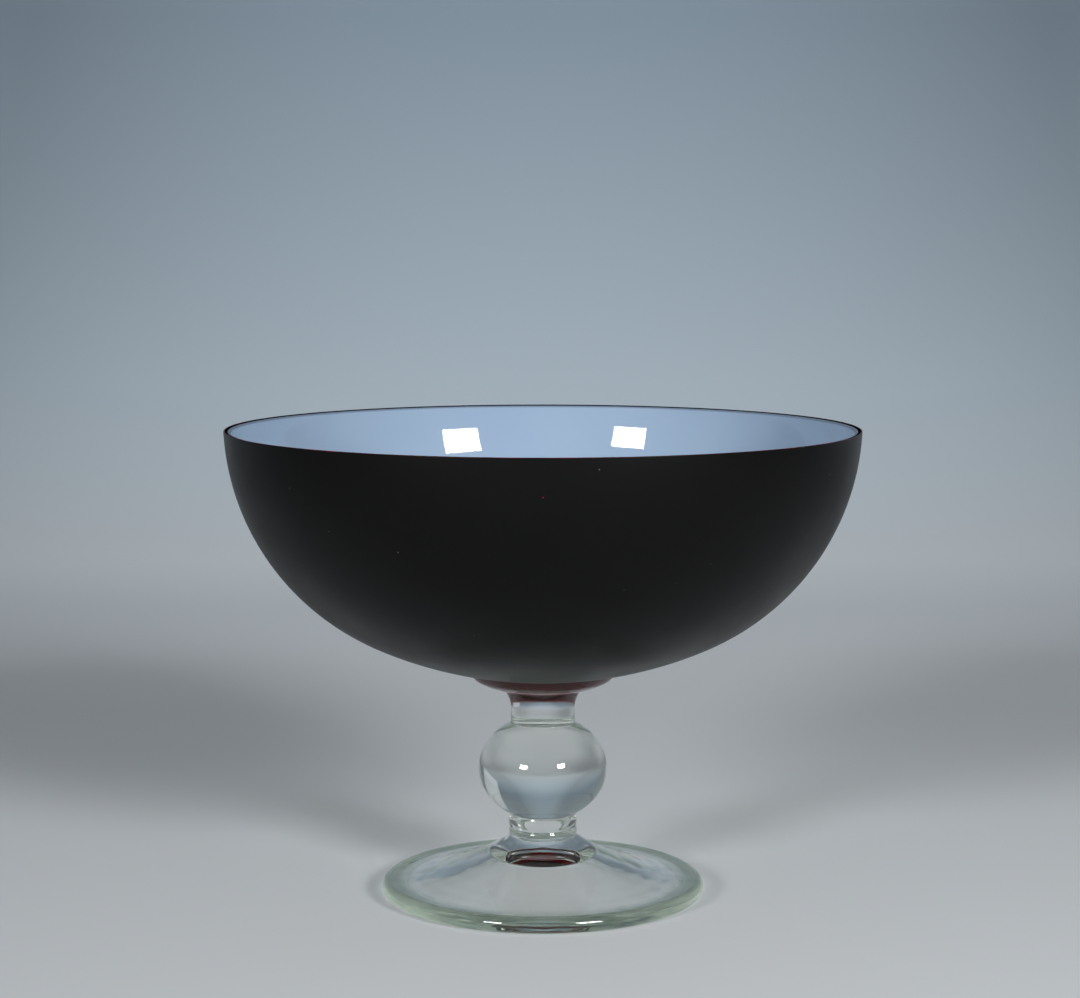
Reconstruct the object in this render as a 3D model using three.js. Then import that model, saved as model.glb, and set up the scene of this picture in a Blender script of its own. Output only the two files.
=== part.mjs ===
// Footed glass bowl: a cased bowl carried by a clear ball stem on a wide clear foot.
// The bowl's wall is three layers, one inside the other: a pale opal lining, a ruby
// casing and a black satin coat. The stem is worked in clear glass as a wafer under
// the bowl, a flared neck, a ball knop and a ringed collar. Nothing on it moves.
// Millimetres, +Z up. The origin is the middle of the plane that the foot stands on.

import * as THREE from 'three';

// Bowl
const RIM_RADIUS = 100; // outside of the coat at the rim
const BOWL_DEPTH = 79.6; // from the rim down to the lowest level of the coat's curve
const BOTTOM_RADIUS = 131; // flat arc of the bowl's bottom, centred on the axis
const BOTTOM_ANGLE = 24.8; // degrees of that arc on each side of the axis
const COAT_THICKNESS = 0.4;
const CASING_THICKNESS = 0.9;
const LINING_THICKNESS = 0.9;
const LAYER_GAP = 0.05; // between one layer's face and the next, which are fused on the real bowl
const RIM_FALL = 14; // degrees that the ground rim slopes down towards the inside
const RIM_ARRIS = 0.25; // radius polished on the inner and outer edge of the rim
const BARE_RING = 0.3; // ruby left uncoated between the coat and the wafer's edge

// Stem, from the bowl down to the foot
const WAFER_RADIUS = 23.8; // where its lip meets the bowl
const WAFER_THICKNESS = 4; // at the axis, under the casing
const WAFER_HIP_RADIUS = 21.6; // where its underside turns up into the lip
const WAFER_HIP_HEIGHT = 3; // of the hip above the neck
const WAFER_BELLY = 0.5; // how far its underside swells below a straight cone
const WAFER_LIP_SWELL = 0.28; // how far the lip swells out of a straight cone
const NECK_TOP_RADIUS = 12.7; // where the flare meets the wafer
const NECK_RADIUS = 10.2; // where the neck meets the knop
const NECK_HEIGHT = 10.9;
const FLARE_HEIGHT = 7.9;
const FLARE_HOLLOW = 0.9; // how far the flare curves in from a straight cone
const KNOP_RADIUS = 20.5;
const KNOP_HALF_HEIGHT = 17; // of the whole flattened ball, poles included
const COLLAR_RADIUS = 10.9; // over the swell of the two rings
const COLLAR_SWELL = 0.45; // how far each ring stands out of the creases beside it
const UPPER_RING_HEIGHT = 4.6;
const LOWER_RING_HEIGHT = 2.6;

// Foot
const FOOT_RADIUS = 51.5;
const FOOT_HEIGHT = 18.8; // at the collar
const FOOT_EDGE_RADIUS = 2.65; // round bead of the edge
const FOOT_BEAD_WIDTH = 6.3; // from the edge in to the shallow valley behind the bead
const FOOT_VALLEY_HEIGHT = 5;
const FOOT_SWEEP_HOLLOW = 2.3; // how far the top curves in from a straight cone
const FOOT_THICKNESS = 8.4; // glass under the collar, at the edge of the polished mark
const MARK_RADIUS = 10.5; // mark in the middle of the underside, where the pontil was polished off
const MARK_HOLLOW = 0.4; // rise of the mark at its middle
const SHOULDER_RADIUS = 15.2; // where the underside starts to slope down to the contact ring
const SHOULDER_DROP = 0.6; // below the edge of the mark
const UNDERSIDE_SWELL = 1.6; // how far that slope swells below a straight cone
const CONTACT_RING_WIDTH = 5; // flat ring that touches the table

// Facets
const SIDES = 48;
const BOTTOM_STEPS = 3;
const SIDE_STEPS = 8;
const KNOP_STEPS = 14;
const CURVE_STEPS = 6;
const EDGE_STEPS = 5;
const LIP_STEPS = 3;
const ARRIS_STEPS = 2;

// Levels, from the table up
const collarCreaseRadius = COLLAR_RADIUS - COLLAR_SWELL;
const ringCrease = FOOT_HEIGHT + LOWER_RING_HEIGHT;
const collarTop = ringCrease + UPPER_RING_HEIGHT;
const knopCentre = collarTop + knopRise(collarCreaseRadius);
const knopTop = knopCentre + knopRise(NECK_RADIUS);
const neckTop = knopTop + NECK_HEIGHT;
const casingBottom = neckTop + WAFER_THICKNESS;
const coatBottom = casingBottom - LAYER_GAP - COAT_THICKNESS;
const rimHeight = coatBottom + BOWL_DEPTH;

// The bowl's outside is two arcs. The bottom one is centred on the axis, and the side
// one leaves it without a corner and ends at the rim. Inner layers are offset inwards
// from both, so they keep the same centres.
const joinAngle = THREE.MathUtils.degToRad(BOTTOM_ANGLE) - Math.PI / 2;
const bottomCentre = new THREE.Vector2(0, coatBottom + BOTTOM_RADIUS);
const outward = new THREE.Vector2(Math.cos(joinAngle), Math.sin(joinAngle));
const join = bottomCentre.clone().addScaledVector(outward, BOTTOM_RADIUS);
const toRim = new THREE.Vector2(RIM_RADIUS, rimHeight).sub(join);
const sideRadius = -toRim.lengthSq() / (2 * toRim.dot(outward));
const sideCentre = join.clone().addScaledVector(outward, -sideRadius);

const casingDepth = COAT_THICKNESS + LAYER_GAP;
const casingBackDepth = casingDepth + CASING_THICKNESS;
const liningDepth = casingBackDepth + LAYER_GAP;
const insideDepth = liningDepth + LINING_THICKNESS;
const coatOpeningRadius = WAFER_RADIUS + BARE_RING;

// The ground rim starts where the outer arris ends and falls towards the inside.
const rimFall = THREE.MathUtils.degToRad(RIM_FALL);
const rimStartDepth = RIM_ARRIS * (1 + Math.sin(rimFall));
const rimStartHeight = rimHeight - RIM_ARRIS * (1 - Math.cos(rimFall));
const innerArrisDepth = insideDepth - RIM_ARRIS * (1 - Math.sin(rimFall));
const innerArrisHeight = rimAt(innerArrisDepth) - RIM_ARRIS * Math.cos(rimFall);

// Half height of the knop's cut at a radius
function knopRise(radius) {
  return KNOP_HALF_HEIGHT * Math.sqrt(1 - (radius / KNOP_RADIUS) ** 2);
}

// Height of the ground rim at a depth inside the wall
function rimAt(depth) {
  return rimStartHeight - (depth - rimStartDepth) * Math.tan(rimFall);
}

// Points of a circular arc, with angles from the outward radius towards the rim
function arc(centre, radius, from, to, steps) {
  return new THREE.EllipseCurve(centre.x, centre.y, radius, radius, from, to, to < from).getPoints(steps);
}

// Points of the arc from start to end that stands off its chord by swell, to the right
// of the way it runs, so outside a profile that is drawn from its foot to its top
function bow(start, end, swell, steps) {
  const chord = end.clone().sub(start);
  const half = chord.length() / 2;
  const radius = (half ** 2 + swell ** 2) / (2 * swell);
  const right = new THREE.Vector2(chord.y, -chord.x).normalize();
  const centre = start.clone().lerp(end, 0.5).addScaledVector(right, swell - radius);
  const from = start.clone().sub(centre).angle();
  const turn = 4 * Math.atan(swell / half);
  return arc(centre, Math.abs(radius), from, from + turn, steps);
}

// Angle of the bowl's bottom arc, at a depth below the coat's surface, at a radius
function bottomAngleAt(depth, radius) {
  return Math.asin(radius / (BOTTOM_RADIUS - depth)) - Math.PI / 2;
}

// Stretch of the bowl's bottom arc between two radii
function bottomArc(depth, fromRadius, toRadius, steps) {
  const from = bottomAngleAt(depth, fromRadius);
  return arc(bottomCentre, BOTTOM_RADIUS - depth, from, bottomAngleAt(depth, toRadius), steps);
}

// One face of a layer, from a radius on the bottom up the side to a height
function wallFace(depth, fromRadius, toHeight) {
  const from = bottomAngleAt(depth, fromRadius);
  const bottom = arc(bottomCentre, BOTTOM_RADIUS - depth, from, joinAngle, BOTTOM_STEPS);
  const radius = sideRadius - depth;
  const top = Math.asin((toHeight - sideCentre.y) / radius);
  const side = arc(sideCentre, radius, joinAngle, top, SIDE_STEPS);
  return [...bottom, ...side.slice(1)];
}

const point = (radius, height) => new THREE.Vector2(radius, height);
const coatFace = wallFace(0, coatOpeningRadius, rimHeight - RIM_ARRIS);
const coatBack = wallFace(COAT_THICKNESS, coatOpeningRadius, rimAt(COAT_THICKNESS));
const waferSeat = bottomArc(COAT_THICKNESS, 0, WAFER_RADIUS, BOTTOM_STEPS);
const casingSeat = bottomArc(casingDepth, 0, WAFER_RADIUS, BOTTOM_STEPS);
const casingFace = wallFace(casingDepth, WAFER_RADIUS, rimAt(casingDepth));
const casingBack = wallFace(casingBackDepth, 0, rimAt(casingBackDepth));
const liningFace = wallFace(liningDepth, 0, rimAt(liningDepth));
const insideFace = wallFace(insideDepth, 0, innerArrisHeight);

// Satin coat: outside face, polished arris, rim, then back down beside the casing
function coatProfile() {
  const shoulder = coatFace[coatFace.length - 1];
  const corner = point(shoulder.x - RIM_ARRIS, shoulder.y);
  const arris = arc(corner, RIM_ARRIS, 0, Math.PI / 2 + rimFall, ARRIS_STEPS);
  return [...coatFace, ...arris.slice(1), ...coatBack.toReversed(), coatFace[0]];
}

// Ruby casing: from the axis out under the wafer and the coat, over the rim and down the lining
function casingProfile() {
  return [...casingSeat, ...casingFace.slice(1), ...casingBack.toReversed()];
}

// Opal lining: up the casing, across the rim, round its inner arris and down the inside
function liningProfile() {
  const shoulder = insideFace[insideFace.length - 1];
  const corner = point(shoulder.x + RIM_ARRIS, shoulder.y);
  const arris = arc(corner, RIM_ARRIS, Math.PI / 2 + rimFall, Math.PI, ARRIS_STEPS);
  return [...liningFace, ...arris, ...insideFace.toReversed().slice(1)];
}

// Wafer: a disc whose underside swells out to a hip, then turns up into a lip on the casing
function waferProfile() {
  const crease = point(NECK_TOP_RADIUS, neckTop);
  const hip = point(WAFER_HIP_RADIUS, neckTop + WAFER_HIP_HEIGHT);
  const underside = bow(crease, hip, WAFER_BELLY, CURVE_STEPS);
  const lip = bow(hip, waferSeat[waferSeat.length - 1], WAFER_LIP_SWELL, LIP_STEPS);
  return [point(0, neckTop), ...underside, ...lip.slice(1, -1), ...waferSeat.toReversed()];
}

// Neck: straight from the knop, then flaring out to the wafer
function neckProfile() {
  const flareFoot = point(NECK_RADIUS, neckTop - FLARE_HEIGHT);
  const flare = bow(flareFoot, point(NECK_TOP_RADIUS, neckTop), -FLARE_HOLLOW, CURVE_STEPS);
  return [point(0, knopTop), point(NECK_RADIUS, knopTop), ...flare, point(0, neckTop)];
}

// Knop: a flattened ball cut off square where the collar and the neck join it
function knopProfile() {
  const low = -Math.acos(collarCreaseRadius / KNOP_RADIUS);
  const high = Math.acos(NECK_RADIUS / KNOP_RADIUS);
  const ball = new THREE.EllipseCurve(0, knopCentre, KNOP_RADIUS, KNOP_HALF_HEIGHT, low, high, false);
  return [point(0, collarTop), ...ball.getPoints(KNOP_STEPS), point(0, knopTop)];
}

// Collar: two swelling rings with a crease between them
function collarProfile() {
  const foot = point(collarCreaseRadius, FOOT_HEIGHT);
  const crease = point(collarCreaseRadius, ringCrease);
  const top = point(collarCreaseRadius, collarTop);
  const lower = bow(foot, crease, COLLAR_SWELL, CURVE_STEPS);
  const upper = bow(crease, top, COLLAR_SWELL, CURVE_STEPS);
  return [point(0, FOOT_HEIGHT), ...lower, ...upper.slice(1), point(0, collarTop)];
}

// Foot: hollow underside, flat contact ring, beaded edge and a sweep up to the collar
function footProfile() {
  const markHeight = FOOT_HEIGHT - FOOT_THICKNESS;
  const mark = [point(0, markHeight + MARK_HOLLOW), point(MARK_RADIUS, markHeight)];
  const beadCentre = point(FOOT_RADIUS - FOOT_EDGE_RADIUS, FOOT_EDGE_RADIUS);
  const bead = arc(beadCentre, FOOT_EDGE_RADIUS, -Math.PI / 2, Math.PI / 2, 2 * EDGE_STEPS);
  const shoulder = point(SHOULDER_RADIUS, markHeight - SHOULDER_DROP);
  const contact = point(beadCentre.x - CONTACT_RING_WIDTH, 0);
  const slope = bow(shoulder, contact, UNDERSIDE_SWELL, CURVE_STEPS);
  const valley = point(FOOT_RADIUS - FOOT_BEAD_WIDTH, FOOT_VALLEY_HEIGHT);
  const sweep = bow(valley, point(collarCreaseRadius, FOOT_HEIGHT), -FOOT_SWEEP_HOLLOW, 2 * CURVE_STEPS);
  return [...mark, ...slope, ...bead, ...sweep, point(0, FOOT_HEIGHT)];
}

// Turns a profile round the axis and stands it up along +Z
function revolve(name, profile, color, roughness) {
  const geometry = new THREE.LatheGeometry(profile, SIDES);
  geometry.rotateX(Math.PI / 2);
  const material = new THREE.MeshStandardMaterial({ color, roughness, metalness: 0 });
  const mesh = new THREE.Mesh(geometry, material);
  mesh.name = name;
  return mesh;
}

const bowl = new THREE.Group();
bowl.add(
  revolve('opal_lining', liningProfile(), 0xa3b7d3, 0.08),
  revolve('ruby_casing', casingProfile(), 0x6e141c, 0.08),
  revolve('black_satin_coat', coatProfile(), 0x171817, 0.55),
);

const stem = new THREE.Group();
stem.add(
  revolve('stem_wafer', waferProfile(), 0xdfe6e4, 0.03),
  revolve('stem_neck', neckProfile(), 0xdfe6e4, 0.03),
  revolve('ball_knop', knopProfile(), 0xdfe6e4, 0.03),
  revolve('stem_collar', collarProfile(), 0xdfe6e4, 0.03),
);

const footedBowl = new THREE.Group();
footedBowl.add(bowl, stem, revolve('foot', footProfile(), 0xd3e0da, 0.03));

export default footedBowl;
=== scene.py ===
# %% [markdown]
# # A footed bowl in cased glass
# The bowl is blown in three layers: an opal lining, a ruby casing and a black satin coat. It stands on
# a clear stem with a ball knop, and on a wide clear foot. All of it is round, so every piece can be one
# outline turned about the upright axis. The CAD frame gives the sizes, and this lesson adds the fine
# surfaces, the glass and the light.

# %% Load the frame
import math

import bmesh
import bpy
import numpy as np
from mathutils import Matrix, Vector


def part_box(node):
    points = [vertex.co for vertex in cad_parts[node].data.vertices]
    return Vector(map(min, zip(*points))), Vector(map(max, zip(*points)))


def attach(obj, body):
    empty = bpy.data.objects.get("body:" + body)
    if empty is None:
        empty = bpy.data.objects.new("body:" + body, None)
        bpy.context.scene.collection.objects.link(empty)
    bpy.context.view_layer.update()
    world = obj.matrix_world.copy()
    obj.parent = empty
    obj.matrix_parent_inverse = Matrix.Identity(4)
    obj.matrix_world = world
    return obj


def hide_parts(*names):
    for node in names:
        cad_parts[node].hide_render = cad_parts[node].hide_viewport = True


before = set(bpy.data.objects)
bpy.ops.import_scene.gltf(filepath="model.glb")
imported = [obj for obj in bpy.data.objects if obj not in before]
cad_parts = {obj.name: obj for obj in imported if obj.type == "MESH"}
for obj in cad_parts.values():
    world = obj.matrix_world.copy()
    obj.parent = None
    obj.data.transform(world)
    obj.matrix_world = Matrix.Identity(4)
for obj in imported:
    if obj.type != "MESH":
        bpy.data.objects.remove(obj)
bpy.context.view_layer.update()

# %% [markdown]
# ## Sizes read from the frame
# A box round a turned piece gives its largest radius and its lowest and highest level. Reading them from
# the frame, instead of typing them again, keeps the fine surfaces on the CAD solids. The script works in
# millimetres, as a glass maker would, and turns to metres only when a mesh is made.

# %% Levels and radii
MM = 0.001


def node_size(node):
    """Largest radius, lowest level and highest level of a turned CAD node, in millimetres."""
    low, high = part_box(node)
    return high.x / MM, low.z / MM, high.z / MM


rim_radius, _, rim_level = node_size("black_satin_coat")
casing_radius, casing_bottom, _ = node_size("ruby_casing")
wafer_radius, _, _ = node_size("stem_wafer")
neck_top_radius, knop_top, neck_top = node_size("stem_neck")
knop_radius, collar_top, _ = node_size("ball_knop")
collar_radius, foot_height, _ = node_size("stem_collar")
foot_radius, _, _ = node_size("foot")
print(f"rim {rim_radius:.1f} at {rim_level:.1f}, knop {knop_radius:.1f}, foot {foot_radius:.1f} mm")

# %% [markdown]
# ## Outlines are made of arcs
# Glass that is blown and tooled hot settles into round curves, so an outline needs only arcs and short
# straight runs. A point of an outline is a pair: its distance from the axis and its height.

# %% Arc and bow
POINT_SPACING = 1.2  # mm between points along an outline, at most
POINT_TURN = 8.0  # degrees that the outline turns from one point to the next, at most


def arc(centre, radius, start, end, spacing=POINT_SPACING):
    """Circle formula: centre + radius * (cos a, sin a), for angles a from start to end in degrees."""
    turn = math.radians(end - start)
    steps = math.ceil(max(abs(turn) * radius / spacing, abs(end - start) / POINT_TURN))
    angle = math.radians(start) + np.linspace(0, turn, steps + 1)
    return np.array(centre) + radius * np.column_stack([np.cos(angle), np.sin(angle)])


def bow(start, end, swell, spacing=POINT_SPACING):
    """Arc from start to end that stands off its chord by swell, to the right of the way it runs."""
    start, end = np.array(start, float), np.array(end, float)
    chord = end - start
    half = np.linalg.norm(chord) / 2
    radius = (half**2 + swell**2) / (2 * swell)
    right = np.array([chord[1], -chord[0]]) / (2 * half)
    centre = (start + end) / 2 + right * (swell - radius)
    first = math.degrees(math.atan2(*(start - centre)[::-1]))
    turn = math.degrees(4 * math.atan(swell / half))
    return arc(centre, abs(radius), first, first + turn, spacing)


print(f"a quarter circle of 10 mm gets {len(arc((0, 0), 10, 0, 90))} points")

# %% [markdown]
# ## Turning an outline into a surface
# A turned piece is a surface of two parameters: the place along the outline and the angle round the
# axis. A Screw modifier or the Spin tool would do it too, but whole arrays are quicker and leave nothing
# to apply. Rows of the grid follow the outline, columns go round. Where the outline starts or ends on
# the axis, the ring of points there is merged into one pole.

# %% Revolve
SIDES = 192  # of every turned piece
SHARP_TURN = 40.0  # degrees, an edge that turns more than this is shaded as a corner
MERGE_DISTANCE = 1e-7  # m, points of a pole that are nearer than this become one


def revolve(name, outline, closed):
    """Surface (r(s) cos a, r(s) sin a, z(s)); a closed outline also joins its end to its start."""
    radius, height = outline.T * MM
    angle = np.arange(SIDES) * 2 * np.pi / SIDES
    ring = np.column_stack([np.cos(angle), np.sin(angle), np.ones(SIDES)])
    points = np.column_stack([radius, radius, height])[:, None, :] * ring[None, :, :]
    rows = len(outline)
    here = np.arange(rows if closed else rows - 1)[:, None] * SIDES + np.arange(SIDES)
    beside = np.roll(here, -1, axis=1)
    above = SIDES
    total = rows * SIDES
    quads = np.stack([here, beside, (beside + above) % total, (here + above) % total], axis=-1)
    mesh = bpy.data.meshes.new(name)
    mesh.from_pydata(points.reshape(-1, 3), [], quads.reshape(-1, 4).tolist())
    clean = bmesh.new()
    clean.from_mesh(mesh)
    bmesh.ops.remove_doubles(clean, verts=clean.verts, dist=MERGE_DISTANCE)
    clean.to_mesh(mesh)
    clean.free()
    mesh.shade_smooth()
    mesh.set_sharp_from_angle(angle=math.radians(SHARP_TURN))
    piece = bpy.data.objects.new(name, mesh)
    bpy.context.scene.collection.objects.link(piece)
    print(f"{name}: {len(mesh.vertices)} points, {len(mesh.polygons)} faces")
    return piece


facet_gap = rim_radius * (1 - math.cos(math.pi / SIDES))
print(f"{SIDES} sides leave {facet_gap:.3f} mm between a flat and the true circle of the rim")

# %% [markdown]
# ## The bowl's wall
# The outside of the bowl is two arcs: a flat one for the bottom, centred on the axis, and a tighter one
# for the side, which leaves it without a corner and ends at the rim. The layers are offset inwards from
# both, so they keep the same centres. An offset copy of a mesh, as the Solidify modifier makes it, would
# be close, but arcs about one centre give each layer the same thickness everywhere.

# %% Wall arcs
BOTTOM_ARC = 131.0  # mm, radius of the bottom arc
BOTTOM_ANGLE = 24.8  # degrees of it on each side of the axis
COAT = 0.4  # mm, thickness of the satin coat
CASING = 0.95  # mm, thickness of the ruby
LINING = 0.95  # mm, thickness of the opal
BARE_RING = 0.3  # mm of ruby left uncoated round the wafer
EDGE_RING = 0.05  # mm, a second ring of points so close to the rim keeps the shading of the wall even

coat_bottom = casing_bottom - (rim_radius - casing_radius)
join_angle = BOTTOM_ANGLE - 90
bottom_centre = np.array([0, coat_bottom + BOTTOM_ARC])
outward = np.array([math.cos(math.radians(join_angle)), math.sin(math.radians(join_angle))])
join = bottom_centre + BOTTOM_ARC * outward
to_rim = np.array([rim_radius, rim_level]) - join
side_arc = -to_rim @ to_rim / (2 * to_rim @ outward)
side_centre = join - side_arc * outward


def wall_face(depth, from_radius, to_level):
    """The wall's curve at a depth inside its outer face, from a radius on the bottom up to a level."""
    radius = side_arc - depth
    start = math.degrees(math.asin(from_radius / (BOTTOM_ARC - depth))) - 90
    end = math.degrees(math.asin((to_level - side_centre[1]) / radius))
    near_end = end - math.degrees(EDGE_RING / radius)
    bottom = arc(bottom_centre, BOTTOM_ARC - depth, start, join_angle)
    side = arc(side_centre, radius, join_angle, near_end)
    edge = arc(side_centre, radius, near_end, end)
    return np.concatenate([bottom, side[1:], edge[1:]])


print(f"bottom arc {BOTTOM_ARC:.1f} mm, side arc {side_arc:.1f} mm, wall {COAT + CASING + LINING:.2f} mm")

# %% [markdown]
# ## The ground rim
# The maker cracked the bowl off the blowpipe, ground its rim and polished the two edges round. The rim
# falls a little towards the inside, and there all three layers come to the surface. Its level is worked
# out for any depth in the wall, so that coat, casing and lining end on one slope.

# %% Rim
RIM_ARRIS = 0.25  # mm, round of the rim's two edges
RIM_FALL = math.radians(14.0)  # slope of the ground rim, down towards the inside


def rim_at(depth):
    """Level of the ground rim at a depth inside the wall: it falls from the end of the outer arris."""
    start_depth = RIM_ARRIS * (1 + math.sin(RIM_FALL))
    start_level = rim_level - RIM_ARRIS * (1 - math.cos(RIM_FALL))
    return start_level - (depth - start_depth) * math.tan(RIM_FALL)


inside = COAT + CASING + LINING
inner_start = inside - RIM_ARRIS * (1 - math.sin(RIM_FALL))
inner_arris_level = rim_at(inner_start) - RIM_ARRIS * math.cos(RIM_FALL)
print(f"rim falls {rim_level - inner_arris_level:.2f} mm from the outside to the inside")

# %% [markdown]
# ## Three layers of glass
# In the workshop the opal gather is dipped in ruby and then in black. Each layer is a closed outline: up
# one face, over the rim and down the other. The coat leaves a round opening at the bottom for the stem,
# while casing and lining run through to the axis. They share faces, as fused layers do.

# %% Coat, casing and lining
opening = wafer_radius + BARE_RING
coat_face = wall_face(0, opening, rim_level - RIM_ARRIS)
coat_back = wall_face(COAT, opening, rim_at(COAT))
casing_face = wall_face(COAT, 0, rim_at(COAT))
casing_back = wall_face(COAT + CASING, 0, rim_at(COAT + CASING))
inner_face = wall_face(inside, 0, inner_arris_level)
rim_angle = 90 + math.degrees(RIM_FALL)
outer_arris = arc(coat_face[-1] - [RIM_ARRIS, 0], RIM_ARRIS, 0, rim_angle)
inner_arris = arc(inner_face[-1] + [RIM_ARRIS, 0], RIM_ARRIS, rim_angle, 180)

coat_outline = np.concatenate([coat_face, outer_arris[1:], coat_back[::-1]])
casing_outline = np.concatenate([casing_face, casing_back[::-1]])
lining_outline = np.concatenate([casing_back, inner_arris, inner_face[-2::-1]])
coat = revolve("black_coat", coat_outline, closed=True)
casing = revolve("ruby_layer", casing_outline, closed=False)
lining = revolve("opal_inside", lining_outline, closed=False)

# %% [markdown]
# ## The foot
# On the real bowl the foot, collar, knop, neck and wafer are fused: light passes from one to the next
# without meeting a surface. Five separate meshes would show five walls inside the glass, so they are one
# outline here, drawn in three steps. The foot comes first. Its underside is hollow, with a polished mark in
# the middle where the iron was cracked off, and a flat ring that touches the table. Its top sweeps up from
# a round bead, with faint rings from the wooden paddle. They are in the mesh, as a sine wave that fades.

# %% Foot outline
FOOT_EDGE = 2.65  # mm, radius of the bead round the foot's edge
FOOT_BEAD_WIDTH = 6.3  # mm from the edge in to the valley behind the bead
FOOT_VALLEY = 5.0  # mm, level of that valley
FOOT_HOLLOW = 2.3  # mm that the top curves in from a straight cone
FOOT_THICKNESS = 8.4  # mm of glass under the collar
CONTACT_RING = 5.0  # mm, width of the flat ring that touches the table
MARK_RADIUS = 10.5  # mm, polished mark in the middle of the underside
MARK_HOLLOW = 0.4  # mm that its middle is deeper than its edge
SHOULDER_RADIUS = 15.2  # mm, where the underside starts to slope down
SHOULDER_DROP = 0.6  # mm below the edge of the polished mark
UNDERSIDE_SWELL = 1.6  # mm that the slope swells below a straight cone
TOOL_RING = 5.5  # mm between the faint rings of the paddle
TOOL_DEPTH = 0.06  # mm that they rise and fall beside the valley
TOOL_FADE = 10.0  # mm from the valley inwards over which the rings fade
TOOL_STEP = 0.4  # mm between points there
COLLAR_SWELL = 0.45  # mm that the rings of the collar stand out of the creases beside them

crease_radius = collar_radius - COLLAR_SWELL


def foot_outline():
    """Hollow underside, contact ring, bead, then the sweep up to the collar with its fading sine rings."""
    bead_centre = np.array([foot_radius - FOOT_EDGE, FOOT_EDGE])
    ring_start = bead_centre[0] - CONTACT_RING
    mark_level = foot_height - FOOT_THICKNESS
    mark = [[0, mark_level + MARK_HOLLOW], [MARK_RADIUS, mark_level]]
    shoulder = [SHOULDER_RADIUS, mark_level - SHOULDER_DROP]
    hollow = bow(shoulder, [ring_start, 0], UNDERSIDE_SWELL)
    bead = arc(bead_centre, FOOT_EDGE, -90, 90)
    valley = [foot_radius - FOOT_BEAD_WIDTH, FOOT_VALLEY]
    sweep = bow(valley, [crease_radius, foot_height], -FOOT_HOLLOW, TOOL_STEP)
    inwards = valley[0] - sweep[:, 0]
    sweep[:, 1] += TOOL_DEPTH * np.sin(2 * np.pi * inwards / TOOL_RING) * np.exp(-inwards / TOOL_FADE)
    return [mark, hollow, bead, sweep]


print(f"foot: {sum(len(run) for run in foot_outline())} points")

# %% [markdown]
# ## Collar, knop and neck
# The collar was pinched into two rings with the jacks. The knop is a ball, pressed a little flat by its own
# weight, so its outline is a circle squashed in height. The neck flares out to the wafer. Sphere and
# cylinder primitives would be quick, but they don't meet in one clean crease as these runs do.

# %% Stem outline
LOWER_RING = 2.6  # mm, height of the collar's lower ring
KNOP_HALF_HEIGHT = 17.0  # mm, of the whole flattened ball
FLARE_HEIGHT = 7.9  # mm under the wafer where the neck starts to flare
FLARE_HOLLOW = 0.9  # mm that the flare curves in from a straight cone


def stem_outline():
    """Two bowed rings, an ellipse (radius cos a, half height sin a) cut off at both ends, and the flare."""
    ring_crease = [crease_radius, foot_height + LOWER_RING]
    lower = bow([crease_radius, foot_height], ring_crease, COLLAR_SWELL)
    upper = bow(ring_crease, [crease_radius, collar_top], COLLAR_SWELL)
    rise = KNOP_HALF_HEIGHT * math.sqrt(1 - (crease_radius / knop_radius) ** 2)
    squash = KNOP_HALF_HEIGHT / knop_radius
    bottom = -math.degrees(math.acos(crease_radius / knop_radius))
    top = math.degrees(math.asin((knop_top - collar_top - rise) / KNOP_HALF_HEIGHT))
    ball = arc([0, 0], knop_radius, bottom, top) * [1, squash] + [0, collar_top + rise]
    flare = bow([ball[-1][0], neck_top - FLARE_HEIGHT], [neck_top_radius, neck_top], -FLARE_HOLLOW)
    return [lower[1:], upper[1:], ball[1:], flare]


print(f"stem: {sum(len(run) for run in stem_outline())} points")

# %% [markdown]
# ## The wafer
# A wafer is a small disc of hot glass that joins stem and bowl. Pressed against the bowl, it spread and its
# edge turned up into a lip. Its top is sunk a hair into the ruby, because fused glass has no air between:
# a gap would act as a mirror and hide the red.

# %% Wafer outline
CONTACT = 0.1  # mm that the wafer is sunk into the casing
WAFER_HIP = (21.6, 3.0)  # mm, radius and height above the neck where the underside turns up
WAFER_BELLY = 0.5  # mm that the underside swells below a straight cone
WAFER_LIP_SWELL = 0.28  # mm that the lip swells outwards


def wafer_outline():
    """Swelling underside, turned-up lip, and the top, which follows the bowl's bottom arc to the axis."""
    seat_arc = BOTTOM_ARC - COAT - CONTACT
    seat_angle = math.degrees(math.asin(wafer_radius / seat_arc)) - 90
    seat = arc(bottom_centre, seat_arc, seat_angle, -90)
    hip = [WAFER_HIP[0], neck_top + WAFER_HIP[1]]
    belly = bow([neck_top_radius, neck_top], hip, WAFER_BELLY)
    lip = bow(hip, seat[0], WAFER_LIP_SWELL)
    return [belly[1:], lip[1:-1], seat]


raw_outline = np.concatenate(foot_outline() + stem_outline() + wafer_outline())
print(f"clear glass: {len(raw_outline)} points before polishing")

# %% [markdown]
# ## Fire polishing
# The creases between the worked pieces were softened in the flame. Averaging the outline over a short
# length does the same: flats and long curves keep their place, and sharp corners turn into small rounds.
# The points are then spaced by how much the outline turns, so that the small rounds get most of them.

# %% Polish the outline
POLISH = 0.22  # mm, spread of the average
POLISH_REACH = 4  # spreads to each side, past which the weights are too small to matter
FINE_STEP = 0.04  # mm between points while averaging
SAME_PLACE = 1e-9  # mm, two points nearer than this are one
TURN_WEIGHT = 7.0  # mm of length that a turn of one radian counts for
OUTLINE_POINTS = 420  # in the polished outline


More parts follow.
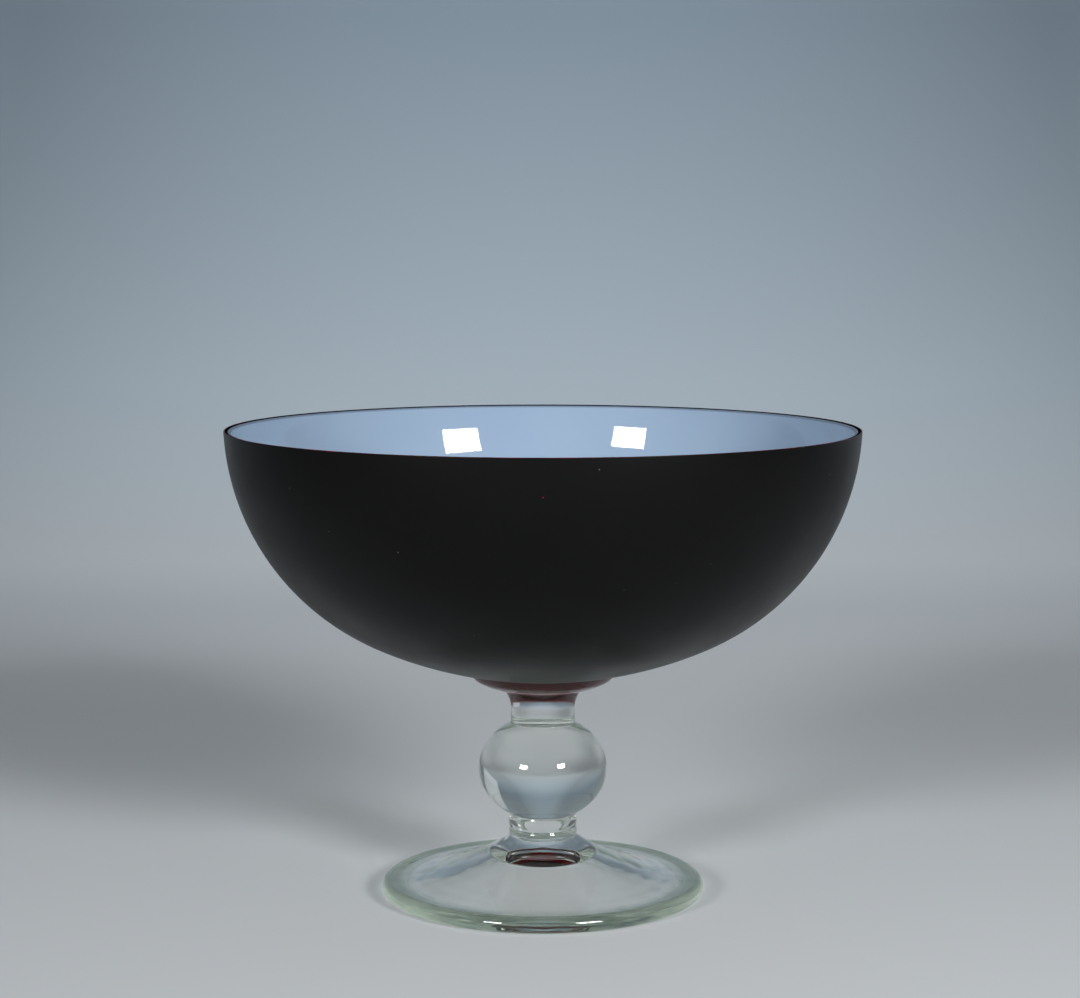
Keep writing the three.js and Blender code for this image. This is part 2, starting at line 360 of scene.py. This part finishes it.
def polish(outline):
    """Gaussian average of the outline along its length, mirrored past the axis at both ends."""
    length = np.append(0, np.cumsum(np.linalg.norm(np.diff(outline, axis=0), axis=1)))
    keep = np.append(True, np.diff(length) > SAME_PLACE)
    fine = np.arange(0, length[-1], FINE_STEP)
    points = np.column_stack([np.interp(fine, length[keep], outline[keep, i]) for i in (0, 1)])
    reach = int(POLISH_REACH * POLISH / FINE_STEP)
    kernel = np.exp(-0.5 * (np.arange(-reach, reach + 1) * FINE_STEP / POLISH) ** 2)
    mirror = np.array([-1, 1])
    padded = np.concatenate([points[reach:0:-1] * mirror, points, points[-2 : -reach - 2 : -1] * mirror])
    soft = np.column_stack([np.convolve(padded[:, i], kernel / kernel.sum(), "valid") for i in (0, 1)])
    soft[[0, -1], 0] = 0
    step = np.diff(soft, axis=0)
    heading = np.unwrap(np.arctan2(step[:, 1], step[:, 0]))
    turn = np.append(0, np.abs(np.diff(heading)))
    weight = np.append(0, np.cumsum(np.linalg.norm(step, axis=1) + TURN_WEIGHT * turn))
    even = np.linspace(0, weight[-1], OUTLINE_POINTS)
    return np.column_stack([np.interp(even, weight, soft[:, i]) for i in (0, 1)])


glass = revolve("clear_stem_and_foot", polish(raw_outline), closed=False)

# %% [markdown]
# ## Colours and nodes
# Colours are written as sRGB hex values, as a paint chart gives them, and turned to the linear values
# that a shader works with. One small function adds a node, sets its values and links its sockets. Nodes
# could be placed by hand in the Shader Editor, but a script can be read, compared and run again.

# %% Helpers for materials
MIX_FACTOR, MIX_FIRST, MIX_SECOND = 0, 6, 7  # a Mix node's inputs for colours, which share their names
MIX_RESULT = 2  # its output for a colour


def linear(hex_colour):
    """sRGB hex to linear RGBA: c/12.92 below 0.04045, else ((c + 0.055) / 1.055) ** 2.4."""
    srgb = np.array([int(hex_colour[i : i + 2], 16) for i in (1, 3, 5)]) / 255
    rgb = np.where(srgb <= 0.04045, srgb / 12.92, ((srgb + 0.055) / 1.055) ** 2.4)
    return (*rgb.tolist(), 1.0)


def add_node(tree, kind, inputs=None, **settings):
    """Adds a node; a value in inputs is set on the socket, and an output socket in inputs is linked."""
    node = tree.nodes.new(kind)
    for name, value in settings.items():
        setattr(node, name, value)
    for name, value in (inputs or {}).items():
        if isinstance(value, bpy.types.NodeSocket):
            tree.links.new(value, node.inputs[name])
        else:
            node.inputs[name].default_value = value
    return node


def new_material(name):
    """An empty node material with its output node, and the Object coordinates that its patterns use."""
    material = bpy.data.materials.new(name)
    material.use_nodes = True
    tree = material.node_tree
    tree.nodes.clear()
    output = add_node(tree, "ShaderNodeOutputMaterial")
    place = add_node(tree, "ShaderNodeTexCoord").outputs["Object"]
    return material, tree, output, place


def axis_distance(tree, place):
    """Distance of a point from the upright axis: the length of (x, y, 0)."""
    flat = add_node(tree, "ShaderNodeVectorMath", {0: place, 1: (1, 1, 0)}, operation="MULTIPLY")
    length = add_node(tree, "ShaderNodeVectorMath", {0: flat.outputs["Vector"]}, operation="LENGTH")
    return length.outputs["Value"]


print("sRGB #808080 is", round(linear("#808080")[0], 3), "in linear light")

# %% [markdown]
# ## Clear soda glass
# The stem and the foot are clear soda glass, shaped hot and smoothed again in the flame. Iron in the sand
# gives a trace of green, which shows only where light travels far, as in the foot's round edge. A volume
# takes care of the long ways, and a tint helps at the edge. Three more things make it look hand-made:
# slow waves from the paddle, strongest on the foot; a contact ring worn matt by tables; and a shadow that
# lets light through. A path tracer finds light focused by glass only slowly, so for shadow rays alone the
# glass is a plain grey filter.

# %% Clear glass
WAVE_WIDTH = 14 * MM  # from crest to crest
WAVE_HEIGHT = 0.3 * MM
FOOT_WAVES = 0.8  # share of that height on the foot
STEM_WAVES = 0.15  # and on the stem
FOOT_TOP = 14 * MM  # level where the foot's strong waves end
STEM_START = 22 * MM  # level from which there are only weak ones
TINT_START = 43 * MM  # from the axis
TINT_FULL = 47 * MM
WORN_LEVEL = 0.02 * MM  # matt up to this level
POLISHED_LEVEL = 0.3 * MM  # clear from this level
WORN_ROUGHNESS = 0.35
SODA_GLASS_IOR = 1.52
ABSORPTION = 8.0  # per metre of the way through the glass


def clear_glass():
    """Soda glass, fire-polished: smooth and bright, grey-green in its thick edge, matt where it stands."""
    material, tree, output, place = new_material("clear_soda_glass")
    level = add_node(tree, "ShaderNodeSeparateXYZ", {"Vector": place}).outputs["Z"]
    matt_ring_and_painted_edge = add_node(tree, "ShaderNodeMapRange", {
        "Value": level,
        "From Min": WORN_LEVEL,
        "From Max": POLISHED_LEVEL,
        "To Min": WORN_ROUGHNESS,
        "To Max": 0.0,
    })
    edge = add_node(tree, "ShaderNodeMapRange", {
        "Value": axis_distance(tree, place),
        "From Min": TINT_START,
        "From Max": TINT_FULL,
    })
    tint = add_node(tree, "ShaderNodeMix", {
        MIX_FACTOR: edge.outputs["Result"],
        MIX_FIRST: linear("#FFFFFF"),
        MIX_SECOND: linear("#C8D1C6"),
    }, data_type="RGBA")
    waves = add_node(tree, "ShaderNodeTexNoise", {"Vector": place, "Scale": 1 / WAVE_WIDTH, "Detail": 1.0})
    wavy = add_node(tree, "ShaderNodeMapRange", {
        "Value": level,
        "From Min": FOOT_TOP,
        "From Max": STEM_START,
        "To Min": FOOT_WAVES,
        "To Max": STEM_WAVES,
    })
    bump = add_node(tree, "ShaderNodeBump", {
        "Height": waves.outputs["Fac"],
        "Strength": wavy.outputs["Result"],
        "Distance": WAVE_HEIGHT,
    })
    shader = add_node(tree, "ShaderNodeBsdfPrincipled", {
        "Base Color": tint.outputs[MIX_RESULT],
        "Roughness": matt_ring_and_painted_edge.outputs["Result"],
        "IOR": SODA_GLASS_IOR,
        "Transmission Weight": 1.0,
        "Normal": bump.outputs["Normal"],
    })
    path = add_node(tree, "ShaderNodeLightPath")
    filtered = add_node(tree, "ShaderNodeBsdfTransparent", {"Color": linear("#BCBEBD")})
    mix = add_node(tree, "ShaderNodeMixShader", {
        0: path.outputs["Is Shadow Ray"],
        1: shader.outputs["BSDF"],
        2: filtered.outputs["BSDF"],
    })
    depth = add_node(tree, "ShaderNodeVolumeAbsorption", {
        "Color": linear("#E7F3E5"),
        "Density": ABSORPTION,
    })
    tree.links.new(mix.outputs["Shader"], output.inputs["Surface"])
    tree.links.new(depth.outputs["Volume"], output.inputs["Volume"])
    return material


glass.data.materials.append(clear_glass())
print("clear glass:", len(glass.active_material.node_tree.nodes), "nodes")

# %% [markdown]
# ## Ruby glass
# The casing is ruby glass between opal and black. It shows in two places: from below through the clear
# wafer, where light passes it twice, and as a hair-thin dark line in the ground rim, with a red glint here
# and there. It could be real transmissive glass, but under the coat no light gets through it, so an opaque
# deep red gives the same look with less noise. That light is painted into its colour: bright red straight
# above the neck, painted shade further out and in the rim's dark line, and painted red glints in the rim.
# It has no gloss of its own, because under the wafer there is no air that could make a surface shine.

# %% Ruby glass
RUBY = "#8C161C"
RIM_START = 100 * MM  # level where the lit red starts to turn to the painted shade of the cut edge
RIM_FULL = 140 * MM
GLINT_WIDTH = 9 * MM  # from one painted red glint to the next
GLINT_START, GLINT_FULL = 0.66, 0.74  # noise values, high ones are few; they give the painted glints
BRIGHT_RADIUS = 11 * MM  # straight above the neck more light comes back, painted as brighter red
# from here outwards the red is painted shade
SHADED_RADIUS = 16 * MM


def ruby_glass():
    """Deep ruby glass with painted light: red where light comes back, painted shade and glints in the rim.
    """
    material, tree, output, place = new_material("ruby_glass")
    level = add_node(tree, "ShaderNodeSeparateXYZ", {"Vector": place}).outputs["Z"]
    # painted shade: the red darkens away from the neck, where less light comes back
    painted_shade_out = add_node(tree, "ShaderNodeMapRange", {
        "Value": axis_distance(tree, place),
        "From Min": BRIGHT_RADIUS,
        "From Max": SHADED_RADIUS,
    })
    bottom = add_node(tree, "ShaderNodeMix", {
        MIX_FACTOR: painted_shade_out.outputs["Result"],
        MIX_FIRST: linear(RUBY),
        MIX_SECOND: linear("#560F13"),
    }, data_type="RGBA")
    # painted red glints of light in the rim's dark line
    spots = add_node(tree, "ShaderNodeTexNoise", {"Vector": place, "Scale": 1 / GLINT_WIDTH, "Detail": 2.0})
    painted_glints = add_node(tree, "ShaderNodeMapRange", {
        "Value": spots.outputs["Fac"],
        "From Min": GLINT_START,
        "From Max": GLINT_FULL,
    })
    edge = add_node(tree, "ShaderNodeMix", {
        MIX_FACTOR: painted_glints.outputs["Result"],
        MIX_FIRST: linear("#170A0B"),
        MIX_SECOND: linear(RUBY),
    }, data_type="RGBA")
    # the rim's dark line is painted shade of the same ruby
    rim = add_node(tree, "ShaderNodeMapRange", {
        "Value": level,
        "From Min": RIM_START,
        "From Max": RIM_FULL,
    })
    colour = add_node(tree, "ShaderNodeMix", {
        MIX_FACTOR: rim.outputs["Result"],
        MIX_FIRST: bottom.outputs[MIX_RESULT],
        MIX_SECOND: edge.outputs[MIX_RESULT],
    }, data_type="RGBA")
    shader = add_node(tree, "ShaderNodeBsdfPrincipled", {
        "Base Color": colour.outputs[MIX_RESULT],
        "Roughness": 0.5,
        "Specular IOR Level": 0.0,
    })
    tree.links.new(shader.outputs["BSDF"], output.inputs["Surface"])
    return material


casing.data.materials.append(ruby_glass())
print("ruby glass:", len(casing.active_material.node_tree.nodes), "nodes")

# %% [markdown]
# ## Opal glass
# Opal glass holds fine white crystals that scatter light, so it looks milky, here pale blue. Its face is
# fire-polished and mirrors the lamps. Subsurface scattering would copy the crystals, but a layer under
# 1 mm on dark glass shows no depth, so a diffuse colour with a clear gloss is enough. The crystals aren't
# quite even: slow clouds vary the blue, and the blown face is a little wavy. Where the rim was ground, the
# gloss is gone and the colour is duller.

# %% Opal glass
CLOUD_WIDTH = 34 * MM  # from one cloud to the next
SWELL_WIDTH = 26 * MM  # from crest to crest of the wavy face
SWELL_HEIGHT = 0.12 * MM
SWELL_STRENGTH = 0.3  # share of that height
GROUND_START = (inner_arris_level - 0.3) * MM  # level where the grinding of the rim begins
GROUND_FULL = inner_arris_level * MM
POLISHED_ROUGHNESS = 0.03
GROUND_ROUGHNESS = 0.5


def opal_glass():
    """Opal glass, blown and fire-polished: milky pale blue with slow clouds, and a mirror gloss."""
    material, tree, output, place = new_material("opal_glass")
    clouds = add_node(tree, "ShaderNodeTexNoise", {
        "Vector": place,
        "Scale": 1 / CLOUD_WIDTH,
        "Detail": 3.0,
    })
    milk = add_node(tree, "ShaderNodeMix", {
        MIX_FACTOR: clouds.outputs["Fac"],
        MIX_FIRST: linear("#96ADC6"),
        MIX_SECOND: linear("#A2B7CE"),
    }, data_type="RGBA")
    level = add_node(tree, "ShaderNodeSeparateXYZ", {"Vector": place}).outputs["Z"]
    ground = add_node(tree, "ShaderNodeMapRange", {
        "Value": level,
        "From Min": GROUND_START,
        "From Max": GROUND_FULL,
    })
    colour = add_node(tree, "ShaderNodeMix", {
        MIX_FACTOR: ground.outputs["Result"],
        MIX_FIRST: milk.outputs[MIX_RESULT],
        MIX_SECOND: linear("#7A8EA5"),
    }, data_type="RGBA")
    gloss = add_node(tree, "ShaderNodeMapRange", {
        "Value": level,
        "From Min": GROUND_START,
        "From Max": GROUND_FULL,
        "To Min": POLISHED_ROUGHNESS,
        "To Max": GROUND_ROUGHNESS,
    })
    swell = add_node(tree, "ShaderNodeTexNoise", {"Vector": place, "Scale": 1 / SWELL_WIDTH, "Detail": 0.0})
    bump = add_node(tree, "ShaderNodeBump", {
        "Height": swell.outputs["Fac"],
        "Strength": SWELL_STRENGTH,
        "Distance": SWELL_HEIGHT,
    })
    shader = add_node(tree, "ShaderNodeBsdfPrincipled", {
        "Base Color": colour.outputs[MIX_RESULT],
        "Roughness": gloss.outputs["Result"],
        "IOR": 1.5,
        "Normal": bump.outputs["Normal"],
    })
    tree.links.new(shader.outputs["BSDF"], output.inputs["Surface"])
    return material


lining.data.materials.append(opal_glass())
print("opal glass:", len(lining.active_material.node_tree.nodes), "nodes")

# %% [markdown]
# ## Black satin
# The black coat was etched in an acid bath, which leaves pits too fine to see and a silky sheen. Head on
# it is nearly black, and at a grazing angle it turns grey. Roughness and a weak reflection give that
# without any trick. The etch is drawn coarser than it is, or it wouldn't show at all. Slow patches vary
# its sheen, as where the acid ran. Specks of dust and one pinhole tell that the piece is old and real.
# Along its top edge the coat is painted ruby red in stretches, as a hair-thin red line: the ruby of the
# ground rim showing there, with painted red glints of light through it.

# %% Black satin
ETCH_WIDTH = 0.7 * MM  # about ten times the real pits, so that the grain shows
ETCH_HEIGHT = 0.02 * MM
ETCH_STRENGTH = 0.3  # share of that height
PATCH_WIDTH = 20 * MM  # from one patch to the next
PATCH_START, PATCH_FULL = 0.3, 0.7  # noise values
DULL_ROUGHNESS = 0.38
SILKY_ROUGHNESS = 0.31
SATIN_REFLECTION = 0.1  # the default 0.5 is polished glass
SPECK_SPACING = 7 * MM
SPECK_RADIUS = 0.2 * MM
PINHOLE_LEVEL = 138.2  # mm above the table
PINHOLE_RADIUS = 0.24 * MM
RED_EDGE_START = (rim_level - 0.2) * MM  # level where the coat's top edge begins to be painted ruby red
RED_EDGE_FULL = (rim_level - 0.04) * MM
EDGE_GLINT_WIDTH = 9 * MM  # from one painted red glint to the next along the rim
EDGE_GLINT_RISE, EDGE_GLINT_PEAK = 0.55, 0.7  # noise values for the painted glints
LEAST_EDGE_RED = 0.2  # share of painted red between the glints

pinhole_radius = side_centre[0] + math.sqrt(side_arc**2 - (PINHOLE_LEVEL - side_centre[1]) ** 2)
PINHOLE = (0, -pinhole_radius * MM, PINHOLE_LEVEL * MM)


def black_satin():
    """Black glass etched to satin: deep black head on, a silky grey sheen at the edges, dust, a pinhole, a
    painted red rim line with glints.
    """
    material, tree, output, place = new_material("black_satin_glass")
    runs = add_node(tree, "ShaderNodeTexNoise", {"Vector": place, "Scale": 1 / PATCH_WIDTH, "Detail": 4.0})
    haze = add_node(tree, "ShaderNodeMix", {
        MIX_FACTOR: runs.outputs["Fac"],
        MIX_FIRST: linear("#080808"),
        MIX_SECOND: linear("#0D0D0D"),
    }, data_type="RGBA")
    sheen = add_node(tree, "ShaderNodeMapRange", {
        "Value": runs.outputs["Fac"],
        "From Min": PATCH_START,
        "From Max": PATCH_FULL,
        "To Min": DULL_ROUGHNESS,
        "To Max": SILKY_ROUGHNESS,
    })
    cells = add_node(tree, "ShaderNodeTexVoronoi", {"Vector": place, "Scale": 1 / SPECK_SPACING})
    speck = add_node(tree, "ShaderNodeMapRange", {
        "Value": cells.outputs["Distance"],
        "From Min": 0.5 * SPECK_RADIUS / SPECK_SPACING,
        "From Max": SPECK_RADIUS / SPECK_SPACING,
        "To Min": 1.0,
        "To Max": 0.0,
    })
    dusty = add_node(tree, "ShaderNodeMix", {
        MIX_FACTOR: speck.outputs["Result"],
        MIX_FIRST: haze.outputs[MIX_RESULT],
        MIX_SECOND: linear("#6E7072"),
    }, data_type="RGBA")
    away = add_node(tree, "ShaderNodeVectorMath", {0: place, 1: PINHOLE}, operation="DISTANCE")
    hole = add_node(tree, "ShaderNodeMapRange", {
        "Value": away.outputs["Value"],
        "From Min": 0.5 * PINHOLE_RADIUS,
        "From Max": PINHOLE_RADIUS,
        "To Min": 1.0,
        "To Max": 0.0,
    })
    level = add_node(tree, "ShaderNodeSeparateXYZ", {"Vector": place}).outputs["Z"]
    # painted red line with painted glints along the coat's top edge, where the ruby of the ground rim shows
    edge = add_node(tree, "ShaderNodeMapRange", {
        "Value": level,
        "From Min": RED_EDGE_START,
        "From Max": RED_EDGE_FULL,
    })
    edge_glint_noise = add_node(tree, "ShaderNodeTexNoise", {"Vector": place, "Scale": 1 / EDGE_GLINT_WIDTH, "Detail": 2.0})
    edge_glints = add_node(tree, "ShaderNodeMapRange", {
        "Value": edge_glint_noise.outputs["Fac"],
        "From Min": EDGE_GLINT_RISE,
        "From Max": EDGE_GLINT_PEAK,
        "To Min": LEAST_EDGE_RED,
        "To Max": 1.0,
    })
    matt_ring_and_painted_edge = add_node(tree, "ShaderNodeMath", {
        0: edge.outputs["Result"],
        1: edge_glints.outputs["Result"],
    }, operation="MULTIPLY")
    pinhole_and_painted_edge = add_node(tree, "ShaderNodeMath", {
        0: hole.outputs["Result"],
        1: matt_ring_and_painted_edge.outputs["Value"],
    }, operation="MAXIMUM")
    # the pinhole shows the real ruby; the red along the top edge is painted, with painted glints
    colour = add_node(tree, "ShaderNodeMix", {
        MIX_FACTOR: pinhole_and_painted_edge.outputs["Value"],
        MIX_FIRST: dusty.outputs[MIX_RESULT],
        MIX_SECOND: linear(RUBY),
    }, data_type="RGBA")
    etch = add_node(tree, "ShaderNodeTexNoise", {"Vector": place, "Scale": 1 / ETCH_WIDTH, "Detail": 2.0})
    bump = add_node(tree, "ShaderNodeBump", {
        "Height": etch.outputs["Fac"],
        "Strength": ETCH_STRENGTH,
        "Distance": ETCH_HEIGHT,
    })
    shader = add_node(tree, "ShaderNodeBsdfPrincipled", {
        "Base Color": colour.outputs[MIX_RESULT],
        "Roughness": sheen.outputs["Result"],
        "Specular IOR Level": SATIN_REFLECTION,
        "IOR": 1.5,
        "Normal": bump.outputs["Normal"],
    })
    tree.links.new(shader.outputs["BSDF"], output.inputs["Surface"])
    return material


coat.data.materials.append(black_satin())
print("black satin:", len(coat.active_material.node_tree.nodes), "nodes")

# %% [markdown]
# ## A floor that sweeps up
# Glass shows little of itself and much of what is round it, so the board behind the bowl matters as much
# as the lamps. It is one sheet that lies flat, curves up and stands, with no line where floor and wall
# meet. The place along the sheet is kept as an attribute of the mesh, and its paint follows that.

# %% Board
SWEEP_START = 0.6  # m behind the bowl where the board starts to rise
SWEEP_RADIUS = 1.2  # m
SWEEP_STEPS = 40  # rows round the curve
STAGE_REACH = 8.0  # m that it reaches to the front and to both sides
BOARD_TOP = 3.0  # m above the floor
FLOOR_LEVEL = -0.0002  # m, just under the foot, so that the two faces don't fight


def sweep_stage():
    """Board: flat, then a quarter circle, then upright; one profile carried along X."""
    turn = np.linspace(0, np.pi / 2, SWEEP_STEPS)
    curve = np.column_stack([SWEEP_START + SWEEP_RADIUS * np.sin(turn), SWEEP_RADIUS * (1 - np.cos(turn))])
    front = [[-STAGE_REACH, 0]]
    top = [[SWEEP_START + SWEEP_RADIUS, BOARD_TOP]]
    profile = np.concatenate([front, curve, top])
    depth, height = np.repeat(profile, 2, axis=0).T
    across = np.tile([-STAGE_REACH, STAGE_REACH], len(profile))
    points = np.column_stack([across, depth, height + FLOOR_LEVEL])
    first = np.arange(len(profile) - 1) * 2
    faces = np.column_stack([first, first + 1, first + 3, first + 2])
    mesh = bpy.data.meshes.new("backdrop_board")
    mesh.from_pydata(points, [], faces.tolist())
    mesh.shade_smooth()
    steps = np.linalg.norm(np.diff(profile, axis=0), axis=1)
    along = np.append(0, np.cumsum(steps)) - STAGE_REACH
    mesh.attributes.new("along", "FLOAT", "POINT").data.foreach_set("value", np.repeat(along, 2))
    board = bpy.data.objects.new("backdrop_board", mesh)
    bpy.context.scene.collection.objects.link(board)
    print(f"board: {len(profile)} rows, {along[-1] + STAGE_REACH:.2f} m long")
    return board


board = sweep_stage()

# %% [markdown]
# ## Paint and wash light on the board
# The floor is a pale neutral grey. Behind the bowl a lamp of its own washes the board with a cool light
# that fades upwards and to both sides. A hidden lamp could do that too, but it would shine into the bowl
# as well, so the wash is a weak emission in the paint. Two colour ramps follow the board's length.

# %% Board paint
TONES = (  # metres along the board behind the bowl, its paint, and the wash light on it
    (0.30, "#E9EDF0", "#000000"),
    (0.73, "#E6E8EA", "#525C62"),
    (1.08, "#D0D9DF", "#4A5A66"),
    (1.36, "#BAC6CF", "#3D4C58"),
    (1.60, "#A4B2BE", "#33414C"),
    (2.00, "#A4AFB5", "#3A464E"),
)
SIDE_FALL = 1.6  # per square metre, how fast wash and paint darken to the board's sides; in the paint it is painted shade
SIDE_REACH = 0.2  # square metres, past which it stays even


def tone_ramp(tree, along, column):
    """A colour ramp over the length of the board, from one column of the tones."""
    start, end = TONES[0][0], TONES[-1][0]
    part = add_node(tree, "ShaderNodeMapRange", {"Value": along, "From Min": start, "From Max": end})
    ramp = add_node(tree, "ShaderNodeValToRGB", {"Fac": part.outputs["Result"]})
    stops = ramp.color_ramp.elements
    while len(stops) < len(TONES):
        stops.new(1.0)
    for stop, tone in zip(stops, TONES):
        stop.position = (tone[0] - start) / (end - start)
        stop.color = linear(tone[column])
    return ramp.outputs["Color"]


def board_paint():
    """Matt board: pale grey on the floor, washed with cool light as it rises."""
    material, tree, output, place = new_material("matt_board")
    along = add_node(tree, "ShaderNodeAttribute", attribute_name="along").outputs["Fac"]
    across = add_node(tree, "ShaderNodeSeparateXYZ", {"Vector": place}).outputs["X"]
    square = add_node(tree, "ShaderNodeMath", {0: across, 1: across}, operation="MULTIPLY").outputs[0]
    fall = add_node(tree, "ShaderNodeMapRange", {
        "Value": square,
        "From Max": SIDE_REACH,
        "To Min": 1.0,
        "To Max": 1.0 - SIDE_REACH * SIDE_FALL,
    }).outputs["Result"]
    ramp = tone_ramp(tree, along, 1)
    paint = add_node(tree, "ShaderNodeVectorMath", {0: ramp, "Scale": fall}, operation="SCALE")
    shader = add_node(tree, "ShaderNodeBsdfPrincipled", {
        "Base Color": paint.outputs["Vector"],
        "Roughness": 0.9,
        "Specular IOR Level": 0.2,
        "Emission Color": tone_ramp(tree, along, 2),
        "Emission Strength": fall,
    })
    tree.links.new(shader.outputs["BSDF"], output.inputs["Surface"])
    return material


board.data.materials.append(board_paint())
print("board paint:", len(TONES), "tones")

# %% [markdown]
# ## Light
# Two softboxes stand in front, one on each side and a little above the rim. Polished glass mirrors them,
# so their size, place and brightness can be read from the bright windows in the lining and on the knop.
# A dim card at the back on the right shows only through the glass, as a pale crescent in the ball's left
# side. Brightness is given as radiance, what the eye sees of the lamp, and power follows from the area.

# %% Softboxes
AIM = Vector((0, 0, 0.09))  # m, middle of the bowl
SOFTBOXES = (  # name, place, width and height in metres, radiance
    ("softbox_left", (-1.584, -2.186, 0.925), 0.645, 0.49, 41.0),
    ("softbox_right", (0.866, -1.262, 0.644), 0.41, 0.335, 44.0),
    ("card_right", (1.024, 0.955, 0.42), 0.62, 0.95, 0.3),
)


def softbox(name, place, width, height, radiance):
    """A rectangular lamp that faces the bowl; power = radiance * pi * area."""
    lamp = bpy.data.lights.new(name, "AREA")
    lamp.shape = "RECTANGLE"
    lamp.size = width
    lamp.size_y = height
    lamp.energy = radiance * math.pi * width * height
    holder = bpy.data.objects.new(name, lamp)
    holder.location = place
    holder.rotation_euler = (AIM - Vector(place)).to_track_quat("-Z", "Y").to_euler()
    holder.visible_camera = False
    bpy.context.scene.collection.objects.link(holder)
    print(f"{name}: {lamp.energy:.1f} W")


for lamp_settings in SOFTBOXES:
    softbox(*lamp_settings)

# %% [markdown]
# ## Room light
# A studio is never quite dark: walls and ceiling send a little grey light from everywhere. A world of one
# even colour does the same, and keeps the edges of the clear glass from going black.

# %% Room
ROOM_GREY = "#595A5C"

world = bpy.data.worlds.new("studio_room")
world.use_nodes = True
world.node_tree.nodes["Background"].inputs["Color"].default_value = linear(ROOM_GREY)
bpy.context.scene.world = world
print("room light:", ROOM_GREY)

# %% [markdown]
# ## Camera
# The rim and the foot are circles, and a circle seen at a slant is an ellipse. How flat each ellipse is,
# and how far apart the two lie, fixes the height, the distance and the focal length of the camera. The
# focal length is given in pixels of a picture 1080 wide, and turned to millimetres on a 36 mm sensor.

# %% Camera
CAMERA_PLACE = (-0.0009, -0.7949, 0.2154)  # m
CAMERA_PITCH = 6.358  # degrees below level
PICTURE_WIDTH = 1080
FOCAL_PIXELS = 2529.4
SENSOR_WIDTH = 36.0  # mm

lens = bpy.data.cameras.new("camera")
lens.sensor_width = SENSOR_WIDTH
lens.lens = FOCAL_PIXELS / PICTURE_WIDTH * SENSOR_WIDTH
camera = bpy.data.objects.new("camera", lens)
camera.location = CAMERA_PLACE
camera.rotation_euler = (math.radians(90 - CAMERA_PITCH), 0, 0)
bpy.context.scene.collection.objects.link(camera)
bpy.context.scene.camera = camera
print(f"focal length {lens.lens:.1f} mm")

# %% [markdown]
# ## Light paths
# Light crosses many faces in a solid glass foot before it leaves again, so the limits on bounces are set
# high: too low a limit turns thick glass black. A clamp on indirect light removes stray bright dots. The
# Standard view transform shows colours as they are mixed, without a film curve.

# %% Light paths
scene = bpy.context.scene
scene.view_settings.view_transform = "Standard"
scene.cycles.max_bounces = 32
scene.cycles.transmission_bounces = 32
scene.cycles.glossy_bounces = 16
scene.cycles.sample_clamp_indirect = 4.0
print("bounces:", scene.cycles.max_bounces)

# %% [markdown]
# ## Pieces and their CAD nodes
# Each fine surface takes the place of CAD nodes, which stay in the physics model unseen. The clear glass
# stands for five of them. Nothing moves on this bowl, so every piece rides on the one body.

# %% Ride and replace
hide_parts("black_satin_coat")
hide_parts("ruby_casing")
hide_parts("opal_lining")
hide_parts("stem_wafer", "stem_neck", "ball_knop", "stem_collar", "foot")
SLOTS = {coat: "black_satin", casing: "ruby_glass", lining: "opal_glass", glass: "clear_glass"}
for piece, slot in SLOTS.items():
    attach(piece, "root")
